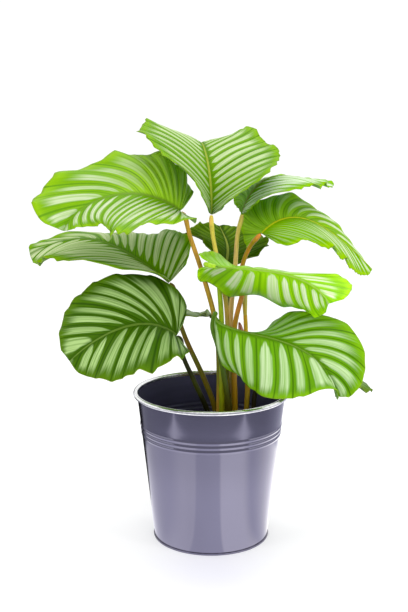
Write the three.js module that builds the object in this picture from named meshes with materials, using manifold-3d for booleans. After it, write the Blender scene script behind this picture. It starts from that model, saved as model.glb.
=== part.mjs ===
// A potted Calathea orbifolia: eleven striped, round leaves on long stalks and one
// young leaf still rolled, growing from soil in a painted sheet-metal pot.
// Millimetres, +Z up. The origin is on the pot's axis, in its flat underside.

import * as THREE from 'three';
import Module from 'manifold-3d';

const wasm = await Module();
wasm.setup();

// Driving dimensions of the pot
const POT_HEIGHT = 170;
const RIM_RADIUS = 87.5;
const RIM_ROLL_RADIUS = 2.5;
const WALL_TOP_RADIUS = 83.6;
const WALL_FOOT_RADIUS = 65;
const WALL_THICKNESS = 1.2;
const SEAM_RADIUS = 66;
const SEAM_HEIGHT = 3;
const BASE_THICKNESS = 1.6;
const RIB_HEIGHTS = [122.2, 127.4, 132.6];
const RIB_HALF_WIDTH = 2.5;
const RIB_RISE = 0.65;
const POT_SIDES = 60;

// Soil and the clearance that pieces keep from each other
const SOIL_LEVEL = 108;
const SOIL_RISE = 4;
const SOIL_BUMP = 1.2;
const SOIL_RINGS = 5;
const SOIL_SIDES = 40;
const STALK_FOOT = 84;
const CLEARANCE = 0.35;

// Leaf blades
const BLADE_THICKNESS = 0.8;
const MIDRIB_DEPTH = 1.5;
const MIDRIB_TIP_DEPTH = 0.2;
const ROWS_ALONG = 24;
const ROWS_ACROSS = 4;
const MIDRIB_STEPS = 60;
const MARGIN_RUFFLE = 2.6;
const MARGIN_SCALLOP = 0.022;

// The flat blade's outline and veins, as shares of its length or of the turn from base
// to tip: where the first vein leaves the midrib, how the veins crowd towards the base,
// where they bend, and how far the lobes and the pointed tip reach
const FIRST_VEIN = 0.1;
const LAST_VEIN = 0.97;
const VEIN_CROWDING = 1.35;
const VEIN_BEND = 0.22;
const VEIN_SPREAD = 0.55;
const OUTLINE_FULLNESS = 0.85;
const OUTLINE_SKEW = 0.12;
const LOBE_SPREAD = 0.3;
const TIP_REACH = 0.03;
const TIP_SPREAD = 0.22;
const MIDRIB_STRETCH = 1.06;

// Leaf stalks
const STALK_SIDES = 8;
const STALK_STEPS = 11;
const STALK_FOOT_RADIUS = 3.5;
const STALK_TOP_RADIUS = 2.3;
const KNEE_RADIUS = 2.6;
const KNEE_LENGTH = 16;
const KNEE_BEND = 7;
const STALK_GAP = 0.8;
const STALK_GAP_PER_LOBE = 13;

// Each blade starts at its base point. Heading and pitch are the midrib's direction in
// degrees at base, middle and tip, with heading 0 along +X and 90 along +Y. Roll lifts
// the left half. Fold turns each half up from the midrib's own plane, and curl bends
// it on towards the margin, both at base, middle and tip. Waves and phase set the
// ripples of the margin.
// The stalk's path runs from its foot in the soil up to the blade's base.
const leaves = [
  {
    name: '01', base: [0, 3, 367], length: 177, width: 164, lobe: 0.06,
    waves: 5, phase: 4.9,
    heading: [89, 99, 81], pitch: [64, 27, -51], roll: [8, 3],
    left: { fold: [73, 26, 39], curl: [11, -23, 6] },
    right: { fold: [70, 14, 44], curl: [15, -13, 18] },
    path: [[17, 0, STALK_FOOT], [17, 0, 143], [18, 2, 251], [14, 3, 285], [7, 4, 316], [2, 4, 342]],
  },
  {
    name: '02', base: [-34, -13, 372], length: 146, width: 183, lobe: 0.11,
    waves: 7, phase: 3.8,
    heading: [198, 177, 242], pitch: [41, -10, -49], roll: [-27, -18],
    left: { fold: [22, 1, 40], curl: [9, 0, -46] },
    right: { fold: [25, 8, 16], curl: [-42, -8, -5] },
    path: [[9, -9, STALK_FOOT], [9, -9, 143], [6, -10, 241], [-9, -11, 302], [-24, -12, 348]],
  },
  {
    name: '03', base: [-48, 22, 288], length: 210, width: 164, lobe: 0.04,
    waves: 6, phase: 5.6,
    heading: [172, 140, 185], pitch: [40, 6, -30], roll: [-15, -19],
    left: { fold: [39, 10, -9], curl: [-14, -2, 17] },
    right: { fold: [39, -4, -2], curl: [3, -25, 5] },
    path: [[5, 3, STALK_FOOT], [5, 3, 143], [-7, 5, 179], [-30, 11, 230], [-40, 14, 262]],
  },
  {
    name: '04', base: [-38, -27, 238], length: 136, width: 140, lobe: 0.07,
    waves: 5, phase: 1.05,
    heading: [210, 208, 179], pitch: [42, -10, -45], roll: [-37, -51],
    left: { fold: [21, 20, -6], curl: [-1, -7, 15] },
    right: { fold: [25, 1, 15], curl: [7, -12, -33] },
    path: [[-3, -14, STALK_FOOT], [-3, -14, 143], [-18, -19, 183], [-31, -23, 215]],
  },
  {
    name: '05', base: [35, 33, 365], length: 149, width: 124, lobe: 0.03,
    waves: 4, phase: 2.8,
    heading: [28, 41, -11], pitch: [78, 2, -17], roll: [-11, 3],
    left: { fold: [-18, -5, 8], curl: [-7, -15, 14] },
    right: { fold: [16, -6, 11], curl: [-2, -13, 7] },
    path: [[26, 5, STALK_FOOT], [26, 5, 143], [22, 18, 242], [27, 26, 305], [30, 31, 343]],
  },
  {
    name: '06', base: [54, -10, 348], length: 178, width: 143, lobe: 0.10,
    waves: 6, phase: 5.9,
    heading: [37, 32, -8], pitch: [38, -25, -43], roll: [10, 18],
    left: { fold: [-40, 18, -29], curl: [-6, -15, 9] },
    right: { fold: [8, -6, -8], curl: [-16, -15, 18] },
    path: [[27, -6, STALK_FOOT], [27, -6, 143], [26, -3, 242], [35, 1, 285], [34, 2, 309], [42, -3, 332]],
  },
  {
    name: '07', base: [7, -90, 324], length: 125, width: 167, lobe: 0.20,
    waves: 5, phase: 2.8,
    heading: [8, -6, -56], pitch: [-7, -11, -47], roll: [54, 41],
    left: { fold: [-52, -49, -26], curl: [12, -19, 4] },
    right: { fold: [-118, -70, -66], curl: [40, -60, -58] },
    path: [[12, -18, STALK_FOOT], [12, -18, 143], [11.5, -16, 190], [12, -14.5, 224],
      [11, -9, 258], [8, -9, 300], [8, -37, 314], [-6, -84, 325.5]],
  },
  {
    name: '08', base: [4, -42, 263], length: 181, width: 139, lobe: 0.03,
    waves: 5, phase: 1.75,
    heading: [-91, 4, -20], pitch: [-13, -18, -84], roll: [1, 14],
    left: { fold: [-52, 10, 86], curl: [-32, -28, 40] },
    right: { fold: [-89, -40, 40], curl: [-25, -91, 5] },
    path: [[21, -22, STALK_FOOT], [21, -22, 143], [8, -23, 222], [1, -26, 248]],
  },
  {
    name: '09', base: [17, 66, 300], length: 145, width: 102, lobe: 0.05,
    waves: 6, phase: 3.1,
    heading: [81, 93, 99], pitch: [23, 9, 15], roll: [9, 4],
    left: { fold: [46, 14, 19], curl: [-3, -5, 8] },
    right: { fold: [30, 16, 11], curl: [-5, -2, 0] },
    path: [[21, 12, STALK_FOOT], [21, 12, 143], [21, 44, 241], [18, 56, 280]],
  },
  {
    name: '10', base: [-3, 58, 242], length: 126, width: 94, lobe: 0.06,
    waves: 6, phase: 0.9,
    heading: [172, 166, 160], pitch: [0, -5, -24], roll: [8, 8],
    left: { fold: [8, 4, 0], curl: [0, -8, 0] },
    right: { fold: [8, 4, 0], curl: [0, -8, 0] },
    path: [[9, 15, STALK_FOOT], [9, 15, 143], [9, 32, 200], [5, 54, 238]],
  },
  {
    name: '11', base: [60, 12, 185], length: 142, width: 112, lobe: 0.06,
    waves: 6, phase: 2.0,
    heading: [22, 20, 16], pitch: [9, -10, -38], roll: [4, 4],
    left: { fold: [12, 4, 0], curl: [0, -8, 0] },
    right: { fold: [10, 0, -4], curl: [0, -10, 0] },
    path: [[48, 6, STALK_FOOT], [48, 6, 143], [51, 9, 172]],
  },
];

// The young leaf is a rolled spear on a stalk of its own, with a dry sheath tip beside it.
const young = {
  path: [[40, 0, STALK_FOOT], [40, 0, 143], [41, 2, 173], [39, 9, 237], [38, 13, 262], [38, 17, 308]],
  rollStart: 0.74,
  rollRadius: 3.4,
  tipRadius: 0.5,
};
const sheath = {
  path: [[39, 8, 228], [36, 7, 240], [32, 6, 251]],
  footRadius: 1.6,
  bellyRadius: 2.8,
  tipRadius: 0.4,
  flatness: 0.5,
  steps: 5,
  sides: 6,
};

const colours = {
  pot: 0x6d6a82,
  soil: 0x2b211a,
  blade: 0x5fa336,
  stalk: 0x8f8a2c,
  young: 0xb08f33,
};

const radians = THREE.MathUtils.degToRad;
const clamp = THREE.MathUtils.clamp;

// A curve through three values, at 0, one half and 1
function throughThree([start, middle, end], s) {
  return start * (1 - s) * (1 - 2 * s) + middle * 4 * s * (1 - s) + end * s * (2 * s - 1);
}

// The midrib as positions with a forward, a left and an upward direction at each step
function midribOf(leaf) {
  const steps = [];
  const position = new THREE.Vector3(...leaf.base);
  const stepLength = MIDRIB_STRETCH * leaf.length / MIDRIB_STEPS;
  let last = null;
  for (let i = 0; i <= MIDRIB_STEPS; i += 1) {
    const along = Math.min(MIDRIB_STRETCH * i / MIDRIB_STEPS, 1);
    const heading = radians(throughThree(leaf.heading, along));
    const pitch = radians(throughThree(leaf.pitch, along));
    const roll = radians(THREE.MathUtils.lerp(leaf.roll[0], leaf.roll[1], along));
    const forward = new THREE.Vector3(
      Math.cos(pitch) * Math.cos(heading), Math.cos(pitch) * Math.sin(heading), Math.sin(pitch));
    const level = new THREE.Vector3(-Math.sin(heading), Math.cos(heading), 0);
    const upright = forward.clone().cross(level);
    const left = level.clone().multiplyScalar(Math.cos(roll)).addScaledVector(upright, Math.sin(roll));
    const up = upright.clone().multiplyScalar(Math.cos(roll)).addScaledVector(level, -Math.sin(roll));
    if (last) {
      position.addScaledVector(last, 0.5 * stepLength).addScaledVector(forward, 0.5 * stepLength);
    }
    last = forward;
    steps.push({ position: position.clone(), forward, left, up });
  }
  return steps;
}

// A point of the flat blade: vein 0 leaves the base and vein 1 ends in the tip, and
// across runs from the midrib, 0, to the margin, 1.
function flatPoint(leaf, vein, across) {
  const { length, width, lobe, waves, phase } = leaf;
  const turn = Math.PI * vein;
  const notch = lobe * Math.exp(-((turn / LOBE_SPREAD) ** 2));
  const tip = TIP_REACH * Math.exp(-(((Math.PI - turn) / TIP_SPREAD) ** 2));
  const marginAlong = length * ((1 - lobe - (1 + lobe) * Math.cos(turn)) / 2 + notch + tip);
  const scallop = 1 + MARGIN_SCALLOP * Math.cos(2 * Math.PI * waves * vein + 2 * phase);
  const fullness = Math.max(Math.sin(turn), 0) ** OUTLINE_FULLNESS;
  const marginOut = 0.5 * width * fullness * (1 + OUTLINE_SKEW * Math.cos(turn)) * scallop;
  const ribShare = clamp((vein - FIRST_VEIN) / (1 - FIRST_VEIN), 0, 1) ** VEIN_CROWDING;
  const ribAlong = LAST_VEIN * length * ribShare;
  const bendAlong = ribAlong + VEIN_BEND * (marginAlong - ribAlong);
  const bendOut = VEIN_SPREAD * marginOut;
  const rest = 1 - across;
  return {
    along: ribAlong * rest ** 2 + 2 * bendAlong * across * rest + marginAlong * across ** 2,
    out: 2 * bendOut * across * rest + marginOut * across ** 2,
  };
}

function bladePoint(leaf, midrib, vein, across, side) {
  const { along, out } = flatPoint(leaf, vein, across);
  const place = clamp(along / leaf.length, 0, 1);
  const index = clamp(along / leaf.length / MIDRIB_STRETCH, 0, 1) * MIDRIB_STEPS;
  const before = midrib[Math.floor(index)];
  const after = midrib[Math.min(Math.floor(index) + 1, MIDRIB_STEPS)];
  const share = index - Math.floor(index);
  const blend = (key) => before[key].clone().lerp(after[key], share);
  const half = side > 0 ? leaf.left : leaf.right;
  const bend = radians(throughThree(half.curl, place)) * out / leaf.width;
  const angle = radians(throughThree(half.fold, place)) + bend;
  const chord = Math.abs(bend) > 1e-6 ? out * Math.sin(bend) / bend : out;
  const wave = Math.sin(2 * Math.PI * leaf.waves * vein + leaf.phase + side);
  const ruffle = MARGIN_RUFFLE * across ** 3 * Math.sqrt(Math.max(Math.sin(Math.PI * vein), 0)) * wave;
  return blend('position')
    .addScaledVector(blend('forward'), Math.min(along, 0))
    .addScaledVector(blend('left'), side * (chord * Math.cos(angle) - ruffle * Math.sin(angle)))
    .addScaledVector(blend('up'), chord * Math.sin(angle) + ruffle * Math.cos(angle));
}

// The blade as one sheet: points shared by both halves, and triangles facing up
function bladeSheet(leaf) {
  const midrib = midribOf(leaf);
  const points = [];
  const ribDepths = [];
  const seen = new Map();
  const indexOf = (vein, across, side) => {
    const point = bladePoint(leaf, midrib, vein, across, side);
    const key = point.toArray().map((value) => value.toFixed(3)).join(' ');
    if (!seen.has(key)) {
      seen.set(key, points.length);
      points.push(point);
      ribDepths.push(across === 0 ? THREE.MathUtils.lerp(MIDRIB_DEPTH, MIDRIB_TIP_DEPTH, vein) : 0);
    }
    return seen.get(key);
  };
  const triangles = [];
  const addTriangle = (a, b, c, side) => {
    if (a !== b && b !== c && c !== a) {
      triangles.push(side > 0 ? [a, b, c] : [a, c, b]);
    }
  };
  for (const side of [1, -1]) {
    for (let i = 0; i < ROWS_ALONG; i += 1) {
      for (let j = 0; j < ROWS_ACROSS; j += 1) {
        const [near, far] = [i / ROWS_ALONG, (i + 1) / ROWS_ALONG];
        const [inner, outer] = [j / ROWS_ACROSS, (j + 1) / ROWS_ACROSS];
        const a = indexOf(near, inner, side);
        const b = indexOf(far, inner, side);
        const c = indexOf(far, outer, side);
        const d = indexOf(near, outer, side);
        addTriangle(a, b, c, side);
        addTriangle(a, c, d, side);
      }
    }
  }
  return { points, triangles, ribDepths };
}

// A sheet becomes a solid: an upper face, a lower face split alike, and an edge wall
function thickened({ points, triangles, ribDepths }) {
  const normals = points.map(() => new THREE.Vector3());
  for (const [a, b, c] of triangles) {
    const ab = points[b].clone().sub(points[a]);
    const ac = points[c].clone().sub(points[a]);
    const facing = ab.cross(ac);
    for (const corner of [a, b, c]) {
      normals[corner].add(facing);
    }
  }
  const count = points.length;
  const positions = [];
  for (const sign of [0.5, -0.5]) {
    points.forEach((point, i) => {
      const depth = sign * BLADE_THICKNESS - (sign < 0 ? ribDepths[i] : 0);
      positions.push(point.clone().addScaledVector(normals[i].normalize(), depth));
    });
  }
  const faces = [];
  const edges = new Map();
  for (const [a, b, c] of triangles) {
    faces.push([a, b, c], [a + count, c + count, b + count]);
    for (const [from, to] of [[a, b], [b, c], [c, a]]) {
      edges.set(`${from} ${to}`, [from, to]);
    }
  }
  for (const [from, to] of edges.values()) {
    if (!edges.has(`${to} ${from}`)) {
      faces.push([to, from, from + count], [to, from + count, to + count]);
    }
  }
  return geometryFrom(positions, faces);
}

function geometryFrom(positions, faces) {
  const geometry = new THREE.BufferGeometry();
  const flatPositions = positions.flatMap((position) => position.toArray());
  geometry.setAttribute('position', new THREE.Float32BufferAttribute(flatPositions, 3));
  geometry.setIndex(faces.flat());
  return geometry;
}

// A round, tapering tube along a path, closed at both ends
function taperedTube(path, radiusAt, steps, sides, flatness = 1) {
  const curve = new THREE.CatmullRomCurve3(path, false, 'centripetal');
  const frames = curve.computeFrenetFrames(steps, false);
  const positions = [];
  const faces = [];
  for (let i = 0; i <= steps; i += 1) {
    const centre = curve.getPointAt(i / steps);
    const radius = radiusAt(i / steps);
    for (let j = 0; j < sides; j += 1) {
      const turn = 2 * Math.PI * j / sides;
      positions.push(centre.clone()
        .addScaledVector(frames.normals[i], radius * Math.cos(turn))
        .addScaledVector(frames.binormals[i], radius * flatness * Math.sin(turn)));
    }
  }
  for (let i = 0; i < steps; i += 1) {
    for (let j = 0; j < sides; j += 1) {
      const next = (j + 1) % sides;
      const [a, b] = [i * sides + j, i * sides + next];
      const [c, d] = [a + sides, b + sides];
      faces.push([a, b, d], [a, d, c]);
    }
  }
  const top = steps * sides;
  for (let j = 1; j < sides - 1; j += 1) {
    faces.push([0, j + 1, j], [top, top + j, top + j + 1]);
  }
  return geometryFrom(positions, faces);
}

// A stalk narrows upwards and thickens again in the knee below its blade. The deeper
// the blade's lobes reach back, the earlier the knee ends.
function stalkGeometry(leaf, extra = 0) {
  const midrib = midribOf(leaf);
  const base = new THREE.Vector3(...leaf.base);
  const path = leaf.path.map((point) => new THREE.Vector3(...point));
  path[0].z -= extra;
  path.push(base.clone().addScaledVector(midrib[0].forward, -KNEE_BEND));
  const gap = STALK_GAP + STALK_GAP_PER_LOBE * leaf.lobe;
  path.push(base.clone().addScaledVector(midrib[0].forward, -gap));
  const total = new THREE.CatmullRomCurve3(path, false, 'centripetal').getLength();
  const radiusAt = (along) => {
    const fromTop = total * (1 - along);
    const plain = THREE.MathUtils.lerp(STALK_FOOT_RADIUS, STALK_TOP_RADIUS, along);
    const knee = fromTop < KNEE_LENGTH ? (KNEE_RADIUS - STALK_TOP_RADIUS) : 0;
    return plain + knee + extra;
  };
  return taperedTube(path, radiusAt, STALK_STEPS, STALK_SIDES);
}

function youngLeafGeometry(extra = 0) {
  const path = young.path.map((point) => new THREE.Vector3(...point));
  path[0].z -= extra;
  const radiusAt = (along) => {
    if (along < young.rollStart) {
      return THREE.MathUtils.lerp(STALK_FOOT_RADIUS, STALK_TOP_RADIUS, along / young.rollStart) + extra;
    }
    const up = (along - young.rollStart) / (1 - young.rollStart);
    const swelling = (young.rollRadius - STALK_TOP_RADIUS) * Math.sin(Math.PI * up);
    return THREE.MathUtils.lerp(STALK_TOP_RADIUS, young.tipRadius, up ** 2) + swelling + extra;
  };
  return taperedTube(path, radiusAt, 2 * STALK_STEPS, STALK_SIDES);
}

function sheathGeometry() {
  const path = sheath.path.map((point) => new THREE.Vector3(...point));
  const radiusAt = (along) => THREE.MathUtils.lerp(sheath.footRadius, sheath.tipRadius, along)
    + (sheath.bellyRadius - sheath.footRadius) * Math.sin(Math.PI * along);
  return taperedTube(path, radiusAt, sheath.steps, sheath.sides, sheath.flatness);
}

// The pot's wall as a turned profile: seam at the foot, taper, three pressed ribs and
// the rolled rim outside, and the same ribs hollow on the inside
function wallRadius(z) {
  const share = (z - SEAM_HEIGHT) / (POT_HEIGHT - SEAM_HEIGHT);
  return THREE.MathUtils.lerp(WALL_FOOT_RADIUS, WALL_TOP_RADIUS, share);
}

function ribPoints(inset) {
  const points = [];
  for (const z of RIB_HEIGHTS) {
    points.push(new THREE.Vector2(wallRadius(z - RIB_HALF_WIDTH) - inset, z - RIB_HALF_WIDTH));
    points.push(new THREE.Vector2(wallRadius(z) + RIB_RISE - inset, z));
    points.push(new THREE.Vector2(wallRadius(z + RIB_HALF_WIDTH) - inset, z + RIB_HALF_WIDTH));
  }
  return points;
}

function potWallGeometry() {
  const rimCentre = RIM_RADIUS - RIM_ROLL_RADIUS;
  const rimHeight = POT_HEIGHT - RIM_ROLL_RADIUS;
  const profile = [
    new THREE.Vector2(WALL_FOOT_RADIUS - WALL_THICKNESS, 0),
    new THREE.Vector2(SEAM_RADIUS, 0),
    new THREE.Vector2(SEAM_RADIUS, 0.7 * SEAM_HEIGHT),
    new THREE.Vector2(WALL_FOOT_RADIUS, SEAM_HEIGHT),
    ...ribPoints(0),
    new THREE.Vector2(wallRadius(rimHeight - RIM_ROLL_RADIUS), rimHeight - RIM_ROLL_RADIUS),
  ];
  for (const degrees of [-110, -60, -20, 20, 60, 100, 140]) {
    const turn = radians(degrees);
    profile.push(new THREE.Vector2(
      rimCentre + RIM_ROLL_RADIUS * Math.cos(turn), rimHeight + RIM_ROLL_RADIUS * Math.sin(turn)));
  }
  profile.push(new THREE.Vector2(wallRadius(rimHeight) - WALL_THICKNESS, rimHeight));
  profile.push(...ribPoints(WALL_THICKNESS).reverse());
  profile.push(profile[0].clone());
  const geometry = new THREE.LatheGeometry(profile, POT_SIDES);
  geometry.rotateX(Math.PI / 2);
  return geometry;
}

function potBaseGeometry() {
  const radius = WALL_FOOT_RADIUS - WALL_THICKNESS - CLEARANCE;
  const geometry = new THREE.CylinderGeometry(radius, radius, BASE_THICKNESS, POT_SIDES);
  geometry.rotateX(Math.PI / 2);
  geometry.translate(0, 0, BASE_THICKNESS / 2);
  return geometry;
}

// Soil fills the pot from the base plate to a low mound with an uneven top.
function soilGeometry() {
  const foot = BASE_THICKNESS + CLEARANCE;
  const inset = WALL_THICKNESS + 2 * CLEARANCE;
  const positions = [new THREE.Vector3(0, 0, SOIL_LEVEL + SOIL_RISE)];
  const faces = [];
  for (let ring = 1; ring <= SOIL_RINGS; ring += 1) {
    const share = ring / SOIL_RINGS;
    for (let j = 0; j < SOIL_SIDES; j += 1) {
      const turn = 2 * Math.PI * (j + 0.5 * (ring % 2)) / SOIL_SIDES;
      const radius = share * (wallRadius(SOIL_LEVEL) - inset);
      const bump = ring < SOIL_RINGS ? SOIL_BUMP * Math.sin(5 * turn + 3 * ring) : 0;
      positions.push(new THREE.Vector3(radius * Math.cos(turn), radius * Math.sin(turn),
        SOIL_LEVEL + SOIL_RISE * (1 - share ** 2) + bump));
    }
  }
  for (let j = 0; j < SOIL_SIDES; j += 1) {
    const turn = 2 * Math.PI * (j + 0.5 * (SOIL_RINGS % 2)) / SOIL_SIDES;
    const radius = wallRadius(foot) - inset;
    positions.push(new THREE.Vector3(radius * Math.cos(turn), radius * Math.sin(turn), foot));
  }
  const bottom = positions.length;
  positions.push(new THREE.Vector3(0, 0, foot));
  const at = (ring, j) => 1 + (ring - 1) * SOIL_SIDES + ((j + SOIL_SIDES) % SOIL_SIDES);
  for (let j = 0; j < SOIL_SIDES; j += 1) {
    faces.push([0, at(1, j), at(1, j + 1)]);
    for (let ring = 1; ring < SOIL_RINGS; ring += 1) {
      const shift = ring % 2;
      faces.push([at(ring, j), at(ring + 1, j + shift), at(ring, j + 1)]);
      faces.push([at(ring + 1, j), at(ring + 1, j + 1), at(ring, j + 1 - shift)]);
    }
    faces.push([at(SOIL_RINGS, j), at(SOIL_RINGS + 1, j), at(SOIL_RINGS + 1, j + 1)]);
    faces.push([at(SOIL_RINGS, j), at(SOIL_RINGS + 1, j + 1), at(SOIL_RINGS, j + 1)]);
    faces.push([bottom, at(SOIL_RINGS + 1, j + 1), at(SOIL_RINGS + 1, j)]);
  }
  return geometryFrom(positions, faces);
}

function solidFrom(geometry) {
  return new wasm.Manifold(new wasm.Mesh({
    numProp: 3,
    vertProperties: new Float32Array(geometry.attributes.position.array),
    triVerts: new Uint32Array(geometry.index.array),
  }));
}

function geometryOf(solid) {
  const mesh = solid.getMesh();
  const geometry = new THREE.BufferGeometry();
  geometry.setAttribute('position', new THREE.Float32BufferAttribute(mesh.vertProperties, 3));
  geometry.setIndex(new THREE.Uint32BufferAttribute(mesh.triVerts, 1));
  return geometry;
}

const plant = new THREE.Group();

function addPiece(name, geometry, color, roughness, metalness) {
  const material = new THREE.MeshStandardMaterial({ color, roughness, metalness });
  const piece = new THREE.Mesh(geometry, material);
  piece.name = name;
  plant.add(piece);
}

addPiece('pot_wall', potWallGeometry(), colours.pot, 0.35, 0.6);
addPiece('pot_base', potBaseGeometry(), colours.pot, 0.35, 0.6);

let soil = solidFrom(soilGeometry());
for (const leaf of leaves) {
  soil = soil.subtract(solidFrom(stalkGeometry(leaf, CLEARANCE)));
}
soil = soil.subtract(solidFrom(youngLeafGeometry(CLEARANCE)));
addPiece('soil', geometryOf(soil), colours.soil, 0.95, 0);

for (const leaf of leaves) {
  addPiece(`stalk_${leaf.name}`, stalkGeometry(leaf), colours.stalk, 0.5, 0);
  addPiece(`leaf_${leaf.name}`, thickened(bladeSheet(leaf)), colours.blade, 0.45, 0);
}

const youngLeaf = solidFrom(youngLeafGeometry()).add(solidFrom(sheathGeometry()));
addPiece('young_leaf', geometryOf(youngLeaf), colours.young, 0.5, 0);

export default plant;
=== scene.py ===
# A potted Calathea orbifolia: silver-striped round leaves on long stalks, in a painted
# sheet-metal pot. Metres, +Z up, the origin on the pot's axis in its flat underside.

import math

import bmesh
import bpy
import numpy as np
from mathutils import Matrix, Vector


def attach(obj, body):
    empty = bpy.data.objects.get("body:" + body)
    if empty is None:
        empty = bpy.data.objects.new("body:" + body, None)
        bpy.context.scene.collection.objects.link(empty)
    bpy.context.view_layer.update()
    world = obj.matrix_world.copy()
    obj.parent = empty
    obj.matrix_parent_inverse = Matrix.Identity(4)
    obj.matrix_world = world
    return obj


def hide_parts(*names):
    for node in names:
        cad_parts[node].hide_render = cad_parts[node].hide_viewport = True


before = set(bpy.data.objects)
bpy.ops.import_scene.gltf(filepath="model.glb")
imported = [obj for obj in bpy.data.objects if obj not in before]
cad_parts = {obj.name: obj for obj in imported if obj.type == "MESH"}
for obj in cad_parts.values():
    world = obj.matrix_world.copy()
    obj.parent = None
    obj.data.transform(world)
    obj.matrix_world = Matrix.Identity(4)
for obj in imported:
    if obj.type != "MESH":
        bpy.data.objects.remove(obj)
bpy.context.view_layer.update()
MM = 0.001


# Camera and studio
# A long lens a metre in front looks down on the pot, under a big soft lamp and three
# smaller ones, on pale paper. Cards that only shiny surfaces see give the pot its light
# fields: one on the floor, a dim room in front, and a flag behind the pot's left side.

FLOOR_REACH = 9
CARD_INNER, CARD_OUTER, CARD_HEIGHT, CARD_SIDES = 0.067, 1.4, 0.001, 96
ROOM_RADIUS, ROOM_HEIGHT, ROOM_SIDES = 1.39, 1.1, 12
ROOM_FROM, ROOM_STEP = -150, 10
FLAG_LEFT, FLAG_RIGHT, FLAG_BACK, FLAG_HEIGHT = -0.36, -0.09, 0.45, 0.25


def added(name, data):
    """A new object in the scene, made of the given data."""
    piece = bpy.data.objects.new(name, data)
    bpy.context.collection.objects.link(piece)
    return piece


def new_mesh(name, points, faces, edges=()):
    mesh = bpy.data.meshes.new(name)
    mesh.from_pydata(points, edges, faces)
    return mesh


def soft_lamp(name, place, target, size, watts, glossy):
    """A rectangular lamp at place, facing target, mirrored in glossy surfaces or not."""
    data = bpy.data.lights.new(name, "AREA")
    data.shape = "RECTANGLE"
    data.size, data.size_y = size
    data.energy = watts
    lamp = added(name, data)
    lamp.location = place
    lamp.visible_camera = False
    lamp.visible_glossy = glossy
    facing = Vector(target) - Vector(place)
    lamp.rotation_euler = facing.to_track_quat("-Z", "Y").to_euler()


camera_data = bpy.data.cameras.new("camera")
camera_data.lens = 60.3
camera_data.sensor_width = 36.0
camera = added("camera", camera_data)
camera.location = (-0.008, -1.114, 0.485)
camera.rotation_euler = (math.radians(90 - 11.13), 0, 0)
bpy.context.scene.camera = camera
bpy.context.scene.view_settings.view_transform = "Standard"

soft_lamp("overhead", (0.2, 0.45, 1.5), (0, 0, 0.3), (1.0, 0.8), 9, True)
soft_lamp("left_box", (-1.2, -0.92, 0.62), (0, 0, 0.25), (0.25, 1.2), 4, False)
soft_lamp("right_box", (1.23, -0.86, 0.62), (0, 0, 0.25), (0.25, 1.2), 5, False)
soft_lamp("front_fill", (0.1, -1.3, 1.1), (0, 0, 0.3), (1.4, 0.6), 6, False)

world = bpy.data.worlds.new("studio")
bpy.context.scene.world = world
world.use_nodes = True
surround = world.node_tree.nodes["Background"]
surround.inputs["Color"].default_value = (1.0, 1.0, 1.0, 1)
surround.inputs["Strength"].default_value = 1.06


class Wire:
    """A value inside a material. Arithmetic on it adds maths nodes to the material."""

    def __init__(self, shading, socket):
        self.shading = shading
        self.socket = socket

    def __add__(self, other):
        return self.shading.maths("ADD", self, other)

    def __sub__(self, other):
        return self.shading.maths("SUBTRACT", self, other)

    def __rsub__(self, other):
        return self.shading.maths("SUBTRACT", other, self)

    def __mul__(self, other):
        return self.shading.maths("MULTIPLY", self, other)

    def __pow__(self, other):
        return self.shading.maths("POWER", self, other)

    def __abs__(self):
        return self.shading.maths("ABSOLUTE", self)

    __radd__ = __add__
    __rmul__ = __mul__


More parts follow.
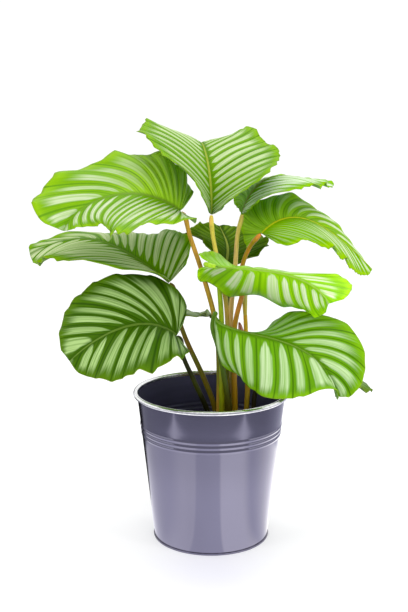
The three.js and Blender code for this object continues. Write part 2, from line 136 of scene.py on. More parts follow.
class Shading:
    """Builds a material's nodes: most methods add one and return what comes out of it."""

    def __init__(self, name):
        self.material = bpy.data.materials.new(name)
        self.material.use_nodes = True
        self.tree = self.material.node_tree
        self.surface = self.tree.nodes["Principled BSDF"]
        self.output = self.tree.nodes["Material Output"]

    def node(self, kind, **settings):
        made = self.tree.nodes.new(kind)
        for key, value in settings.items():
            setattr(made, key, value)
        return made

    def feed(self, socket, value):
        """Links a wire to the socket, or sets it. Colours are given without their alpha."""
        if isinstance(value, Wire):
            self.tree.links.new(value.socket, socket)
        elif socket.type == "RGBA":
            socket.default_value = (*value, 1)
        else:
            socket.default_value = value

    def finish(self, **values):
        """Feeds the surface's inputs, named with underscores for spaces."""
        for key, value in values.items():
            self.feed(self.surface.inputs[key.replace("_", " ")], value)

    def emit(self, colour, strength):
        """Makes the material a plain light."""
        glow = self.node("ShaderNodeEmission")
        self.feed(glow.inputs["Color"], colour)
        self.feed(glow.inputs["Strength"], strength)
        self.tree.links.new(glow.outputs[0], self.output.inputs["Surface"])

    def maths(self, operation, *values):
        made = self.node("ShaderNodeMath", operation=operation)
        for socket, value in zip(made.inputs, values):
            self.feed(socket, value)
        return Wire(self, made.outputs[0])

    def ramp(self, value, low, high, start=0.0, end=1.0):
        """Smoothly from start, where value is low, to end, where it is high."""
        made = self.node("ShaderNodeMapRange", interpolation_type="SMOOTHSTEP")
        for key, given in (("Value", value), ("From Min", low), ("From Max", high),
                           ("To Min", start), ("To Max", end)):
            self.feed(made.inputs[key], given)
        return Wire(self, made.outputs["Result"])

    def blend(self, share, first, second):
        made = self.node("ShaderNodeMix", data_type="RGBA")
        for key, given in (("Factor", share), ("A", first), ("B", second)):
            self.feed(made.inputs[key], given)
        return Wire(self, made.outputs["Result"])

    def layers(self, colour, *coats):
        """Lays coats over a colour, one after another: each is a share and a colour."""
        for share, coat in coats:
            colour = self.blend(share, colour, coat)
        return colour

    def place(self, scale=(1, 1, 1), shift=(0, 0, 0)):
        """The point's own place on the object, scaled and then shifted."""
        coordinates = self.node("ShaderNodeTexCoord")
        mapping = self.node("ShaderNodeMapping")
        self.tree.links.new(coordinates.outputs["Object"], mapping.inputs["Vector"])
        mapping.inputs["Scale"].default_value = scale
        mapping.inputs["Location"].default_value = shift
        return Wire(self, mapping.outputs["Vector"])

    def uv(self, name):
        """The UV map of that name."""
        return Wire(self, self.node("ShaderNodeUVMap", uv_map=name).outputs["UV"])

    def attribute(self, name):
        return Wire(self, self.node("ShaderNodeAttribute", attribute_name=name).outputs["Fac"])

    def split(self, vector):
        made = self.node("ShaderNodeSeparateXYZ")
        self.feed(made.inputs[0], vector)
        return [Wire(self, output) for output in made.outputs]

    def join(self, x, y, z=0.0):
        made = self.node("ShaderNodeCombineXYZ")
        for socket, value in zip(made.inputs, (x, y, z)):
            self.feed(socket, value)
        return Wire(self, made.outputs[0])

    def length(self, vector):
        made = self.node("ShaderNodeVectorMath", operation="LENGTH")
        self.feed(made.inputs[0], vector)
        return Wire(self, made.outputs["Value"])

    def noise(self, vector, scale, detail=3.0, roughness=0.5):
        made = self.node("ShaderNodeTexNoise")
        self.feed(made.inputs["Vector"], vector)
        made.inputs["Scale"].default_value = scale
        made.inputs["Detail"].default_value = detail
        made.inputs["Roughness"].default_value = roughness
        return Wire(self, made.outputs["Fac"])

    def bump(self, height, distance, strength=1.0):
        made = self.node("ShaderNodeBump")
        made.inputs["Distance"].default_value = distance
        made.inputs["Strength"].default_value = strength
        self.feed(made.inputs["Height"], height)
        return Wire(self, made.outputs["Normal"])


def ring(radius, height, sides):
    """Points on a level circle about the Z axis."""
    turns = [2 * math.pi * i / sides for i in range(sides)]
    return [(radius * math.cos(turn), radius * math.sin(turn), height) for turn in turns]


def lattice(rows, columns, closed=False, start=0):
    """Faces between rows of points. Each row is a ring; closed joins the last to the first."""
    faces = []
    for i in range(rows if closed else rows - 1):
        here, there = start + i * columns, start + (i + 1) % rows * columns
        for j in range(columns):
            k = (j + 1) % columns
            faces.append((here + j, there + j, there + k, here + k))
    return faces


def mirror_card(name, points, faces, material):
    """A card that only glossy surfaces see: they mirror its light or dark fields."""
    mesh = new_mesh(name, points, faces)
    mesh.materials.append(material)
    piece = added(name, mesh)
    piece.visible_camera = False
    piece.visible_shadow = False
    piece.visible_diffuse = False
    piece.visible_transmission = False


# The paper has a painted reflection of the pot: a faint lavender patch before it, 0.22 m
# wide and 0.25 m deep.
paper = Shading("floor_paper")
from_painted_reflection = paper.length(paper.place(scale=(9, 8, 1), shift=(0, 0.9, 0)))
paper.finish(
    Base_Color=(0.66, 0.66, 0.66),
    Emission_Color=paper.blend(paper.ramp(from_painted_reflection, 0.0, 1.0), (0.68, 0.66, 0.88), (0.98, 0.98, 1.0)),
    Emission_Strength=0.34,
    Roughness=0.9,
)
floor_corners = [(x * FLOOR_REACH, y * FLOOR_REACH, 0) for x, y in ((-1, -1), (1, -1), (1, 1), (-1, 1))]
floor = added("floor", new_mesh("floor", floor_corners, [(0, 1, 2, 3)]))
floor.data.materials.append(paper.material)

# The floor card's light goes by bearing, which is 0 to the front and grows to the right,
# and by distance: near fields are mirrored in the lower wall, far ones in the upper wall.
# A near field runs from low to high, each with its own softness.
card = Shading("card_print")
card_x, card_y, _ = card.split(card.place())
bearing = card.maths("ARCTAN2", card_x, card_y * -1.0)
distance = card.maths("SQRT", card_x * card_x + card_y * card_y)

near_fields = 0.0
for low, soft_low, high, soft_high, gain in (
        (-0.98, 0.25, -0.40, 0.03, 0.24), (0.23, 0.03, 0.96, 0.18, 0.46), (1.65, 0.60, 2.8, 0.2, 0.9)):
    rising = card.ramp(bearing, low - soft_low, low + soft_low)
    falling = card.ramp(bearing, high - soft_high, high + soft_high, 1.0, 0.0)
    near_fields = near_fields + rising * falling * gain
near_light = near_fields + card.ramp(distance, 0.16, 0.28, 1.26, 1.0)
near_tint = card.blend(near_fields * 3.0, (0.965, 0.955, 1.04), (1, 0.985, 0.98))

far_fields = 0.0
for centre in (-0.97, 0.85, 2.6):
    spread = card.ramp(distance, 0.28, 0.385, 0.58, 0.02)
    far_fields = far_fields + card.ramp(abs(bearing - centre), 0.0, spread, 1.0, 0.0) * 0.85
far_light = far_fields + card.ramp(bearing, 1.3, 2.4, 0.46, 0.8) * card.ramp(distance, 0.30, 0.37, 1.06, 0.80)
far_tint = card.blend(far_fields * 1.5, (0.93, 0.93, 1.12), (0.98, 0.97, 0.99))

zone = card.ramp(distance, 0.284, 0.306)
light = zone * far_light + (1.0 - zone) * near_light
dark_gap = card.maths(
    "MAXIMUM", card.ramp(bearing, -2.98, -2.78, 1.0, 0.0), card.ramp(bearing, -2.45, -2.2))
card.emit(card.blend(zone, near_tint, far_tint), light * dark_gap)
card_points = ring(CARD_INNER, CARD_HEIGHT, CARD_SIDES) + ring(CARD_OUTER, CARD_HEIGHT, CARD_SIDES)
mirror_card("floor_card", card_points, lattice(2, CARD_SIDES), card.material)

room = Shading("dark_room")
room.emit((0.42, 0.41, 0.46), 1.0)
room_points = []
for i in range(ROOM_SIDES + 1):
    turn = math.radians(ROOM_FROM + ROOM_STEP * i)
    for z in (0.0, ROOM_HEIGHT):
        room_points.append((ROOM_RADIUS * math.cos(turn), ROOM_RADIUS * math.sin(turn), z))
room_faces = [(2 * i, 2 * i + 2, 2 * i + 3, 2 * i + 1) for i in range(ROOM_SIDES)]
mirror_card("dark_room", room_points, room_faces, room.material)

# The flag is dark towards its right edge and draws the line down the pot's left side.
flag = Shading("flag_print")
flag_x, _, _ = flag.split(flag.place())
flag.emit((0.92, 0.90, 1.0), flag.ramp(flag_x, FLAG_LEFT, -0.16, 0.9, 0.02))
flag_points = [(FLAG_LEFT, FLAG_BACK, 0), (FLAG_RIGHT, FLAG_BACK, 0),
               (FLAG_RIGHT, FLAG_BACK, FLAG_HEIGHT), (FLAG_LEFT, FLAG_BACK, FLAG_HEIGHT)]
mirror_card("flag", flag_points, [(0, 1, 2, 3)], flag.material)


# Pot wall
# The tapered wall is one sheet of steel, painted a glossy grey-violet. Three ribs are
# pressed into it below the top, its upper edge is rolled outwards into a bead that is
# worn to the bare metal, and a folded seam at the foot holds the base plate.

POT_HEIGHT = 170 * MM
BEAD_CENTRE = 85 * MM
BEAD_RADIUS = 2.5 * MM
WALL_TOP = 83.6 * MM
WALL_FOOT = 65 * MM
WALL_THICKNESS = 1.0 * MM
SEAM_RADIUS = 66 * MM
SEAM_HEIGHT = 3 * MM
RIB_HEIGHTS = [122.2 * MM, 127.4 * MM, 132.6 * MM]
RIB_HALF_WIDTH = 2.6 * MM
RIB_RISE = 0.65 * MM
POT_SIDES = 180
CRISP_ANGLE = 0.4

# degrees around the bead's centre, with 0 straight outwards
BEAD_ANGLES = range(-125, 166, 10)
BARE_FROM = -40


def wall_radius(z):
    """The wall's outer radius at height z, with the ribs' rise."""
    share = (z - SEAM_HEIGHT) / (POT_HEIGHT - SEAM_HEIGHT)
    radius = WALL_FOOT + (WALL_TOP - WALL_FOOT) * share
    for rib in RIB_HEIGHTS:
        if abs(z - rib) < RIB_HALF_WIDTH:
            radius += RIB_RISE * math.cos(math.pi / 2 * (z - rib) / RIB_HALF_WIDTH) ** 2
    return radius


def turned(name, profile, sides, zones, materials):
    """A closed profile of (radius, z) turned about Z. zones names each edge's material."""
    points = []
    for i in range(sides):
        turn = 2 * math.pi * i / sides
        points += [(r * math.cos(turn), r * math.sin(turn), z) for r, z in profile]
    mesh = new_mesh(name, points, lattice(sides, len(profile), closed=True))
    for material in materials:
        mesh.materials.append(material)
    mesh.polygons.foreach_set("material_index", zones * sides)
    mesh.polygons.foreach_set("use_smooth", [True] * len(mesh.polygons))
    return added(name, mesh)


def outward(piece):
    """Merges doubled points, turns every face outwards and keeps the corners crisp."""
    shape = bmesh.new()
    shape.from_mesh(piece.data)
    bmesh.ops.remove_doubles(shape, verts=shape.verts, dist=1e-7)
    bmesh.ops.recalc_face_normals(shape, faces=shape.faces)
    for edge in shape.edges:
        edge.smooth = edge.calc_face_angle(0) < CRISP_ANGLE
    shape.to_mesh(piece.data)
    shape.free()


paint = Shading("pot_paint")
flow = paint.noise(paint.place(scale=(1, 1, 0.35)), 18, 2)
dust = paint.noise(paint.place(), 900, 2)
paint.finish(
    Base_Color=paint.blend(paint.ramp(flow, 0.3, 0.7), (0.176, 0.170, 0.238), (0.194, 0.188, 0.262)),
    Metallic=0.9,
    Roughness=paint.ramp(flow, 0.25, 0.75, 0.085, 0.11),
    Coat_Weight=0.2,
    Coat_Roughness=0.12,
    Normal=paint.bump(dust, 0.00003, 0.2),
)

# The seam's crease is painted much darker than the wall, mottled: painted shade.
crease_shade = Shading("seam_crease")
shade_mottle = crease_shade.noise(crease_shade.place(), 140, 3)
crease_shade.finish(
    Base_Color=crease_shade.blend(crease_shade.ramp(shade_mottle, 0.35, 0.65), (0.030, 0.026, 0.050), (0.070, 0.064, 0.105)),
    Metallic=0.6,
    Roughness=0.4,
)

# The inside is a darker copy of the paint, as painted shade, with soft vertical streaks.
shaded_inside = Shading("pot_inside")
streak = shaded_inside.noise(shaded_inside.place(scale=(1, 1, 14)), 10, 3)
shaded_inside.finish(
    Base_Color=shaded_inside.blend(streak, (0.048, 0.044, 0.098), (0.085, 0.080, 0.160)),
    Metallic=0.2,
    Roughness=0.38,
)

bead = Shading("rim_bead")
scuff = bead.noise(bead.place(), 260, 4)
bead.finish(
    Base_Color=bead.blend(bead.ramp(scuff, 0.35, 0.7), (0.80, 0.81, 0.82), (0.95, 0.96, 0.95)),
    Metallic=1.0,
    Roughness=bead.ramp(scuff, 0.3, 0.7, 0.12, 0.26),
)
pot_finishes = [paint.material, shaded_inside.material, bead.material, crease_shade.material]
PAINT, INSIDE, BARE, CREASE = range(4)

wall_steps = np.concatenate([
    np.linspace(SEAM_HEIGHT, RIB_HEIGHTS[0] - RIB_HALF_WIDTH, 8)[:-1],
    np.linspace(RIB_HEIGHTS[0] - RIB_HALF_WIDTH, RIB_HEIGHTS[2] + RIB_HALF_WIDTH, 61)[:-1],
    np.linspace(RIB_HEIGHTS[2] + RIB_HALF_WIDTH, POT_HEIGHT - 2.2 * BEAD_RADIUS, 6),
])
outer = [(wall_radius(z), z) for z in wall_steps]
# the seam's round, from the foot's inner edge outwards and up
seam = [
    (WALL_FOOT - WALL_THICKNESS, 0.0), (SEAM_RADIUS - 0.5 * MM, 0.0),
    (SEAM_RADIUS - 0.1 * MM, 0.3 * MM), (SEAM_RADIUS, 1.0 * MM),
    (SEAM_RADIUS - 0.1 * MM, 1.9 * MM), (SEAM_RADIUS - 0.6 * MM, 2.4 * MM),
]
bead_arc = []
for degrees in BEAD_ANGLES:
    turn = math.radians(degrees)
    bead_arc.append((BEAD_CENTRE + BEAD_RADIUS * math.cos(turn),
                     POT_HEIGHT - BEAD_RADIUS + BEAD_RADIUS * math.sin(turn)))
inner = [(r - WALL_THICKNESS, z) for r, z in reversed(outer)]
# the inner side ends just behind the bead
inner[0] = (wall_radius(POT_HEIGHT) - 0.9 * MM, POT_HEIGHT - 2.0 * BEAD_RADIUS)
painted = sum(degrees < BARE_FROM for degrees in BEAD_ANGLES)
zones = ([PAINT] * 4 + [CREASE] * 2 + [PAINT] * (len(outer) + painted)
         + [BARE] * (len(bead_arc) - painted) + [INSIDE] * len(inner))
pot_wall = turned("pot_shell", seam + outer + bead_arc + inner, POT_SIDES, zones, pot_finishes)
outward(pot_wall)
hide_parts("pot_wall")
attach(pot_wall, "root")


# Pot base
# A round plate of the same painted steel closes the pot from below, held by the seam.
# Nothing of it shows but its flat underside, so the frame's own plate is only painted.


def coated(name, material):
    """Gives a node of the frame one material."""
    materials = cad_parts[name].data.materials
    materials.clear()
    materials.append(material)


coated("pot_base", paint.material)


# Soil
# Peat soil fills the pot to a low mound, dark and moist, with loose crumbs and a few
# white grains of perlite on it.

SOIL_LEVEL = 108 * MM
SOIL_RISE = 4 * MM
SOIL_EDGE = 73 * MM
MOUND_RINGS, MOUND_SIDES = 12, 48

peat = Shading("peat")
clods = peat.noise(peat.place(), 160, 6, 0.65)
damp = peat.noise(peat.place(), 35, 2)
peat.finish(
    Base_Color=peat.blend(peat.ramp(clods, 0.35, 0.68), (0.012, 0.008, 0.005), (0.07, 0.042, 0.024)),
    Roughness=peat.ramp(damp, 0.35, 0.65, 0.72, 0.95),
    Normal=peat.bump(clods, 0.002),
)
coated("soil", peat.material)

perlite = Shading("perlite")
pores = perlite.noise(perlite.place(), 900, 3)
perlite.finish(
    Base_Color=perlite.blend(perlite.ramp(pores, 0.35, 0.6), (0.30, 0.27, 0.22), (0.74, 0.72, 0.66)),
    Roughness=0.85,
)


def new_tree(name, **inputs):
    """A geometry tree with those inputs, each with its kind, and a geometry output."""
    tree = bpy.data.node_groups.new(name, "GeometryNodeTree")
    for key, kind in inputs.items():
        tree.interface.new_socket(key, in_out="INPUT", socket_type=f"NodeSocket{kind}")
    tree.interface.new_socket("Geometry", in_out="OUTPUT", socket_type="NodeSocketGeometry")
    return tree


def tree_node(tree, kind, **values):
    """Adds a node. Names with a capital letter are its inputs, the others its settings."""
    made = tree.nodes.new(kind)
    for key, value in values.items():
        if key[0].isupper():
            made.inputs[key.replace("_", " ")].default_value = value
        else:
            setattr(made, key, value)
    return made


def wire_up(tree, *links):
    """Each link is a node and its output, then a node and its input."""
    for source, output, target, entry in links:
        tree.links.new(source.outputs[output], target.inputs[entry])


def scatter_tree():
    """Strews lumpy grains over the input's faces."""
    tree = new_tree(
        "scatter", Geometry="Geometry", Density="Float", Size="Float", Seed="Int", Skin="Material")
    into = tree_node(tree, "NodeGroupInput")
    out = tree_node(tree, "NodeGroupOutput")
    strew = tree_node(tree, "GeometryNodeDistributePointsOnFaces")
    grain = tree_node(tree, "GeometryNodeMeshIcoSphere", Radius=1.0, Subdivisions=2)
    spin = tree_node(tree, "FunctionNodeRandomValue", data_type="FLOAT_VECTOR", Max=(6.283, 6.283, 6.283))
    share = tree_node(
        tree, "FunctionNodeRandomValue", data_type="FLOAT_VECTOR", Min=(0.4, 0.35, 0.3), Max=(1.3, 1.0, 0.8))
    size = tree_node(tree, "ShaderNodeVectorMath", operation="SCALE")
    strewn = tree_node(tree, "GeometryNodeInstanceOnPoints")
    real = tree_node(tree, "GeometryNodeRealizeInstances")
    rough = tree_node(tree, "ShaderNodeTexNoise", Scale=700.0)
    centred = tree_node(tree, "ShaderNodeVectorMath", operation="SUBTRACT")
    centred.inputs[1].default_value = (0.5, 0.5, 0.5)
    push = tree_node(tree, "ShaderNodeVectorMath", operation="SCALE")
    shape = tree_node(tree, "GeometryNodeSetPosition")
    skin = tree_node(tree, "GeometryNodeSetMaterial")
    wire_up(
        tree,
        (into, "Geometry", strew, "Mesh"),
        (into, "Density", strew, "Density"),
        (into, "Seed", strew, "Seed"),
        (into, "Seed", spin, "Seed"),
        (into, "Seed", share, "Seed"),
        (share, "Value", size, 0),
        (into, "Size", size, "Scale"),
        (strew, "Points", strewn, "Points"),
        (grain, "Mesh", strewn, "Instance"),
        (spin, "Value", strewn, "Rotation"),
        (size, "Vector", strewn, "Scale"),
        (strewn, "Instances", real, "Geometry"),
        (rough, "Color", centred, 0),
        (centred, "Vector", push, 0),
        (into, "Size", push, "Scale"),
        (real, "Geometry", shape, "Geometry"),
        (push, "Vector", shape, "Offset"),
        (shape, "Geometry", skin, "Geometry"),
        (into, "Skin", skin, "Material"),
        (skin, "Geometry", out, "Geometry"),
    )
    return tree


def socket_id(tree, name):
    """The identifier of a tree's input of that name."""
    for item in tree.interface.items_tree:
        if item.item_type == "SOCKET" and item.in_out == "INPUT" and item.name == name:
            return item.identifier
    raise KeyError(name)


def grown(name, mesh, tree, **inputs):
    """The mesh that a node tree makes of the given one, as a piece of its own."""
    carrier = added(f"{name}_carrier", mesh)
    modifier = carrier.modifiers.new(name, "NODES")
    modifier.node_group = tree
    for key, value in inputs.items():
        modifier[socket_id(tree, key)] = value
    graph = bpy.context.evaluated_depsgraph_get()
    made = bpy.data.meshes.new_from_object(carrier.evaluated_get(graph))
    bpy.data.objects.remove(carrier)
    made.name = name
    return added(name, made)


def mound(name):
    """The soil's top face, which the grains lie on."""
    points = [(0.0, 0.0, SOIL_LEVEL + SOIL_RISE)]
    for i in range(1, MOUND_RINGS + 1):
        reach = i / MOUND_RINGS
        height = SOIL_LEVEL + SOIL_RISE * math.cos(math.pi / 2 * reach)
        points += ring(reach * SOIL_EDGE, height, MOUND_SIDES)
    middle = [(0, 1 + j, 1 + (j + 1) % MOUND_SIDES) for j in range(MOUND_SIDES)]
    return new_mesh(name, points, middle + lattice(MOUND_RINGS, MOUND_SIDES, start=1))


scatter = scatter_tree()
for name, density, size, seed, skin in (("soil_crumbs", 70000, 0.0016, 3, peat.material),
                                        ("perlite_grains", 3200, 0.0013, 8, perlite.material)):
    grains = grown(name, mound(f"{name}_ground"), scatter, Density=density, Size=size, Seed=seed, Skin=skin)
    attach(grains, "root")


# Leaves
# Each blade is a stiff, waxy sheet that grows out of the top of its stalk. It is pleated
# along the veins that curve from the midrib to the margin, and silver bands run between
# them, on deep green.

BLADE_THICKNESS = 0.8 * MM
EDGE_THICKNESS = 0.45 * MM
ROWS_ALONG = 168
ROWS_ACROSS = 22
MIDRIB_STEPS = 60
MIDRIB_STRETCH = 1.06
MARGIN_RUFFLE = 3.2
MARGIN_SCALLOP = 0.042
MARGIN_BUMPS = 1.15
BUMPS_PER_WAVE = 2.3
FIRST_VEIN, LAST_VEIN = 0.18, 0.97
VEIN_BEND, VEIN_SPREAD = 0.40, 0.43
BAND_DRIFT, DRIFT_CYCLES = 0.20, 1.4
BAND_JITTER, JITTER_CYCLES = 0.07, 3.7
OUTLINE_FULLNESS, OUTLINE_SKEW, LOBE_SPREAD = 0.85, 0.12, 0.3
TIP_REACH, TIP_SPREAD = 0.03, 0.22
PLEAT_DEPTH = 1.8 * MM
FLAT_MAP_UNIT = 100
# brighter greens painted near the base of some halves as painted light
PAINTED_LIGHT_GREEN, PAINTED_LIGHT_DEEP = (0.46, 0.78, 0.03), (0.12, 0.30, 0.006)
MARGIN_LINE = (0.36, 0.44, 0.04)

# Lengths are in mm and turns in degrees. Three values are for the base, middle and tip of
# the midrib, pairs for the left and right half.
# base: where the midrib starts. lobe: how far the blade reaches behind it, by its length.
# waves, phase: how many waves half the edge has, and their shift.
# sweep: how much closer to the base the veins start.
# bands: how many there are. pairing, strip: where in a band its two silver strips lie,
# and half their width. rise: how far from the midrib they reach that width.
# silvering: how far along the midrib, in decimetres, they reach full strength.
# margin: how far out they begin to end.
# crimp: the edge's fine bumps. calm: how much the broad waves die out towards the tip.
# young: how much painted light, a brighter green, lies near the base of the
# left and the right half. wax: the skin's index of refraction.
# rib: the midrib's colour. left, right: that half's fold, and its curl.
# path: the stalk's route up from the soil.
USUAL_LEAF = dict(
    pairing=0.25, rise=0.3, silvering=1.1, margin=0.76, crimp=0.012, calm=0.0, young=None, wax=1.15)

LEAVES = {
    "01": USUAL_LEAF | dict(
        base=(0, 3, 367), length=177, width=164, lobe=0.06, waves=5, phase=4.9, sweep=(1.7, 1.7),
        bands=(11, 11), strip=0.125, rise=0.12, wax=1.1, rib=(0.4, 0.47, 0.05),
        heading=(89, 99, 81), pitch=(64, 27, -51), roll=(8, 3),
        left=((73, 26, 39), (11, -23, 6)), right=((70, 14, 44), (15, -13, 18)),
        path=[(17, 0, 84), (17, 0, 143), (18, 2, 251), (14, 3, 285), (7, 4, 316), (2, 4, 342)]),
    "02": USUAL_LEAF | dict(
        base=(-34, -13, 372), length=146, width=183, lobe=0.11, waves=7, phase=3.8, sweep=(2.2, 2.2),
        bands=(10, 8), strip=0.125, margin=0.72, crimp=0.02, young=(0, 1), rib=(0.2, 0.34, 0.03),
        heading=(198, 177, 242), pitch=(41, -10, -49), roll=(-27, -18),
        left=((22, 1, 40), (9, 0, -46)), right=((25, 8, 16), (-42, -8, -5)),
        path=[(9, -9, 84), (9, -9, 143), (6, -10, 241), (-9, -11, 302), (-24, -12, 348)]),
    "03": USUAL_LEAF | dict(
        base=(-48, 22, 288), length=210, width=164, lobe=0.04, waves=6, phase=5.6, sweep=(1.9, 1.9),
        bands=(9, 9), pairing=0.24, strip=0.16, rise=0.2, wax=1.06, rib=(0.14, 0.24, 0.02),
        heading=(172, 140, 185), pitch=(40, 6, -30), roll=(-15, -19),
        left=((39, 10, -9), (-14, -2, 17)), right=((39, -4, -2), (3, -25, 5)),
        path=[(5, 3, 84), (5, 3, 143), (-7, 5, 179), (-30, 11, 230), (-40, 14, 262)]),
    "04": USUAL_LEAF | dict(
        base=(-38, -27, 238), length=136, width=140, lobe=0.07, waves=5, phase=1.05, sweep=(2.3, 2.3),
        bands=(6, 6), pairing=0.22, strip=0.145, rise=0.5, rib=(0.13, 0.22, 0.03),
        heading=(210, 208, 179), pitch=(42, -10, -45), roll=(-37, -51),
        left=((21, 20, -6), (-1, -7, 15)), right=((25, 1, 15), (7, -12, -33)),
        path=[(-3, -14, 84), (-3, -14, 143), (-18, -19, 183), (-31, -23, 215)]),
    "05": USUAL_LEAF | dict(
        base=(35, 33, 365), length=149, width=124, lobe=0.03, waves=4, phase=2.8, sweep=(2.0, 2.0),
        bands=(9, 9), strip=0.15, crimp=0.015, wax=1.04, rib=(0.24, 0.2, 0.03),
        heading=(28, 41, -11), pitch=(78, 2, -17), roll=(-11, 3),
        left=((-18, -5, 8), (-7, -15, 14)), right=((16, -6, 11), (-2, -13, 7)),
        path=[(26, 5, 84), (26, 5, 143), (22, 18, 242), (27, 26, 305), (30, 31, 343)]),
    "06": USUAL_LEAF | dict(
        base=(54, -10, 348), length=178, width=143, lobe=0.1, waves=6, phase=5.9, sweep=(2.0, 2.0),
        bands=(8, 13), strip=0.11, rise=0.6, crimp=0.004, calm=0.85, young=(1, 0), wax=1.05,
        rib=(0.85, 0.8, 0.02),
        heading=(37, 32, -8), pitch=(38, -25, -43), roll=(10, 18),
        left=((-40, 18, -29), (-6, -15, 9)), right=((8, -6, -8), (-16, -15, 18)),
        path=[(27, -6, 84), (27, -6, 143), (26, -3, 242), (35, 1, 285), (34, 2, 309), (42, -3, 332)]),
    "07": USUAL_LEAF | dict(
        base=(7, -90, 324), length=125, width=167, lobe=0.2, waves=5, phase=2.8, sweep=(1.5, 1.1),
        bands=(7, 6), pairing=0.22, strip=0.13, rise=0.15, margin=0.6, crimp=0.008,
        rib=(0.4, 0.6, 0.1),
        heading=(8, -6, -56), pitch=(-7, -11, -47), roll=(54, 41),
        left=((-52, -49, -26), (12, -19, 4)), right=((-118, -70, -66), (40, -60, -58)),
        path=[(12, -18, 84), (12, -18, 143), (11.5, -16, 190), (12, -14.5, 224), (11, -9, 258),
              (8, -9, 300), (8, -37, 314), (-6, -84, 325.5)]),
    "08": USUAL_LEAF | dict(
        base=(4, -42, 263), length=181, width=139, lobe=0.03, waves=5, phase=1.75, sweep=(1.8, 1.0),
        bands=(11, 6), strip=0.135, silvering=1.8, crimp=0.008, rib=(0.22, 0.36, 0.05),
        heading=(-91, 4, -20), pitch=(-13, -18, -84), roll=(1, 14),
        left=((-52, 10, 86), (-32, -28, 40)), right=((-89, -40, 40), (-25, -91, 5)),
        path=[(21, -22, 84), (21, -22, 143), (8, -23, 222), (1, -26, 248)]),
    "09": USUAL_LEAF | dict(
        base=(17, 66, 300), length=145, width=102, lobe=0.05, waves=6, phase=3.1, sweep=(1.9, 1.9),
        bands=(8, 8), pairing=0.2, strip=0.1, rise=0.5, crimp=0.01, wax=1.04, rib=(0.3, 0.34, 0.05),
        heading=(81, 93, 99), pitch=(23, 9, 15), roll=(9, 4),
        left=((46, 14, 19), (-3, -5, 8)), right=((30, 16, 11), (-5, -2, 0)),
        path=[(21, 12, 84), (21, 12, 143), (21, 44, 241), (18, 56, 280)]),
    "10": USUAL_LEAF | dict(
        base=(-3, 58, 242), length=126, width=94, lobe=0.06, waves=6, phase=0.9, sweep=(1.9, 1.9),
        bands=(8, 8), pairing=0.2, strip=0.13, rise=0.4, crimp=0.01, rib=(0.2, 0.3, 0.03),
        heading=(172, 166, 160), pitch=(0, -5, -24), roll=(8, 8),
        left=((8, 4, 0), (0, -8, 0)), right=((8, 4, 0), (0, -8, 0)),
        path=[(9, 15, 84), (9, 15, 143), (9, 32, 200), (5, 54, 238)]),
    "11": USUAL_LEAF | dict(
        base=(60, 12, 185), length=142, width=112, lobe=0.06, waves=6, phase=2.0, sweep=(1.9, 1.9),
        bands=(8, 8), pairing=0.2, strip=0.13, rise=0.4, crimp=0.01, rib=(0.2, 0.3, 0.03),
        heading=(22, 20, 16), pitch=(9, -10, -38), roll=(4, 4),
        left=((12, 4, 0), (0, -8, 0)), right=((10, 0, -4), (0, -10, 0)),
        path=[(48, 6, 84), (48, 6, 143), (51, 9, 172)]),
}


def through_three(values, share):
    """A curve through three values, at 0, one half and 1."""
    start, middle, end = values
    return (start * (1 - share) * (1 - 2 * share) + middle * 4 * share * (1 - share)
            + end * share * (2 * share - 1))


def midrib_of(leaf):
    """The midrib's steps: positions, and forward, left and upward directions."""
    along = np.minimum(MIDRIB_STRETCH * np.arange(MIDRIB_STEPS + 1) / MIDRIB_STEPS, 1)
    heading = np.radians(through_three(leaf["heading"], along))
    pitch = np.radians(through_three(leaf["pitch"], along))
    roll = np.radians(leaf["roll"][0] + (leaf["roll"][1] - leaf["roll"][0]) * along)[:, None]
    forward = np.stack([np.cos(pitch) * np.cos(heading), np.cos(pitch) * np.sin(heading), np.sin(pitch)], 1)
    level = np.stack([-np.sin(heading), np.cos(heading), 0 * heading], 1)
    upright = np.cross(forward, level)
    left = level * np.cos(roll) + upright * np.sin(roll)
    up = upright * np.cos(roll) - level * np.sin(roll)
    step = MIDRIB_STRETCH * leaf["length"] / MIDRIB_STEPS
    halves = 0.5 * step * (forward[1:] + forward[:-1])
    position = np.vstack([np.zeros(3), np.cumsum(halves, 0)]) + np.array(leaf["base"], float)
    return position, forward, left, up


def of_side(pair, side):
    """The left one of a pair, whose side is 1, or the right one, whose side is -1."""
    return pair[0] if side > 0 else pair[1]


def band_count(leaf, vein, side):
    """How many bands lie below a vein: they are of uneven width."""
    shift = leaf["phase"] + side
    return (of_side(leaf["bands"], side) * vein
            + BAND_DRIFT * np.sin(2 * math.pi * DRIFT_CYCLES * vein + 3 * shift)
            + BAND_JITTER * np.sin(2 * math.pi * JITTER_CYCLES * vein + 5 * shift))


def liveliness(leaf, vein):
    """How much of its waves a calm leaf keeps towards the tip, as a share."""
    return 1 - leaf["calm"] * np.clip((vein - 0.5) / 0.25, 0, 1)


def margin_waves(leaf, vein, side):
    """How far the margin swings out and in, as a factor on the blade's half width."""
    shift = leaf["phase"] + side
    broad = np.abs(np.sin(math.pi * leaf["waves"] * vein + leaf["phase"])) ** 0.9
    small = np.abs(np.sin(2 * math.pi * band_count(leaf, vein, side)))
    middle = np.abs(np.sin(BUMPS_PER_WAVE * math.pi * leaf["waves"] * vein + 2 * shift))
    fine = leaf["crimp"] * np.sin(math.pi * vein)
    return (1 + MARGIN_SCALLOP * liveliness(leaf, vein) * (1 - 2 * broad) + fine * (1 - 2 * small)
            + MARGIN_BUMPS * fine * (2 * middle - 1))


